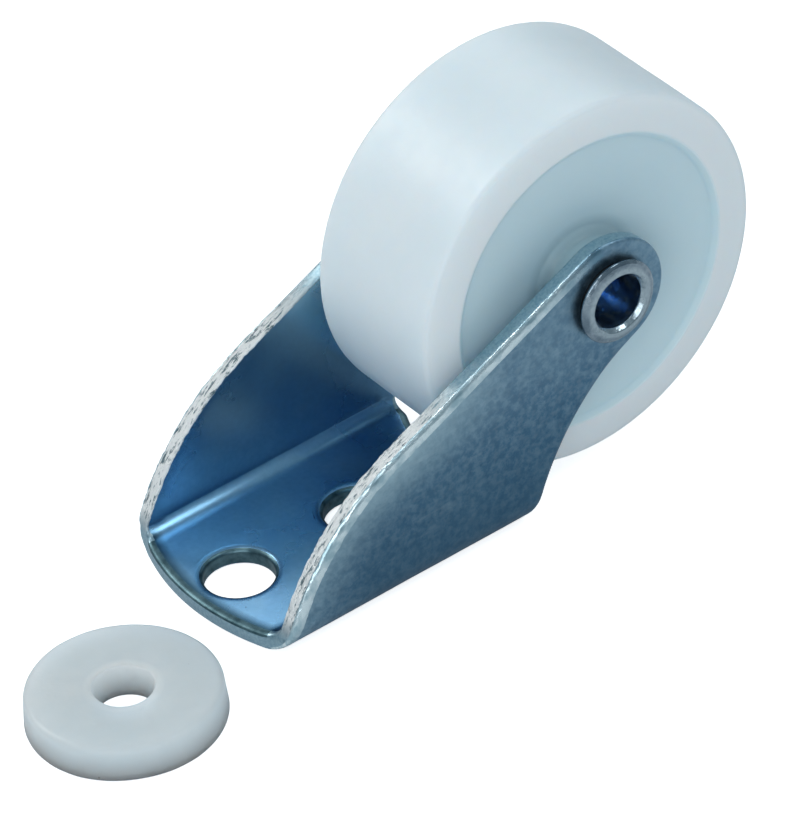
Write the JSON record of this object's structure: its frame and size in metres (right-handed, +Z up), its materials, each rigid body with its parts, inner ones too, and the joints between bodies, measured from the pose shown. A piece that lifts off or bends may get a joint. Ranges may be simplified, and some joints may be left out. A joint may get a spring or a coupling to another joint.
{
  "type": "sliding door roller",
  "caption": "Pressed steel fork with a web pierced for screws, carrying a wide white nylon wheel on a hollow rivet, with a loose round nylon washer beside it.",
  "frame": {"origin": "on the fork's seating plane, under the web, on its centre line, midway between the two screw holes", "axes": "+X from the nose of the fork to the wheel, +Y across the fork along the axle, +Z up from the seating plane towards the wheel's running side"},
  "size_m": [0.0764, 0.0279, 0.0369],
  "materials": {
    "zinc_steel": "bright zinc plate with a bluish tint",
    "rivet_steel": "bright zinc plate",
    "wheel_nylon": "natural white nylon, slightly translucent, satin",
    "washer_nylon": "natural white nylon, slightly translucent, satin"
  },
  "bodies": {
    "fork_body": {"fork": "zinc_steel", "axle_rivet": "rivet_steel"},
    "wheel_body": {"wheel": "wheel_nylon"},
    "washer_body": {"nylon_washer": "washer_nylon"}
  },
  "joints": [
    {"name": "wheel_spin", "type": "hinge", "parent": "fork_body", "child": "wheel_body", "pos_m": [0.0268, 0, 0.0194], "axis": [0, 1, 0], "continuous": true},
    {"name": "washer_lift", "type": "slide", "parent": "fork_body", "child": "washer_body", "axis": [0, 0, 1], "range_m": [0, 0.04]}
  ]
}
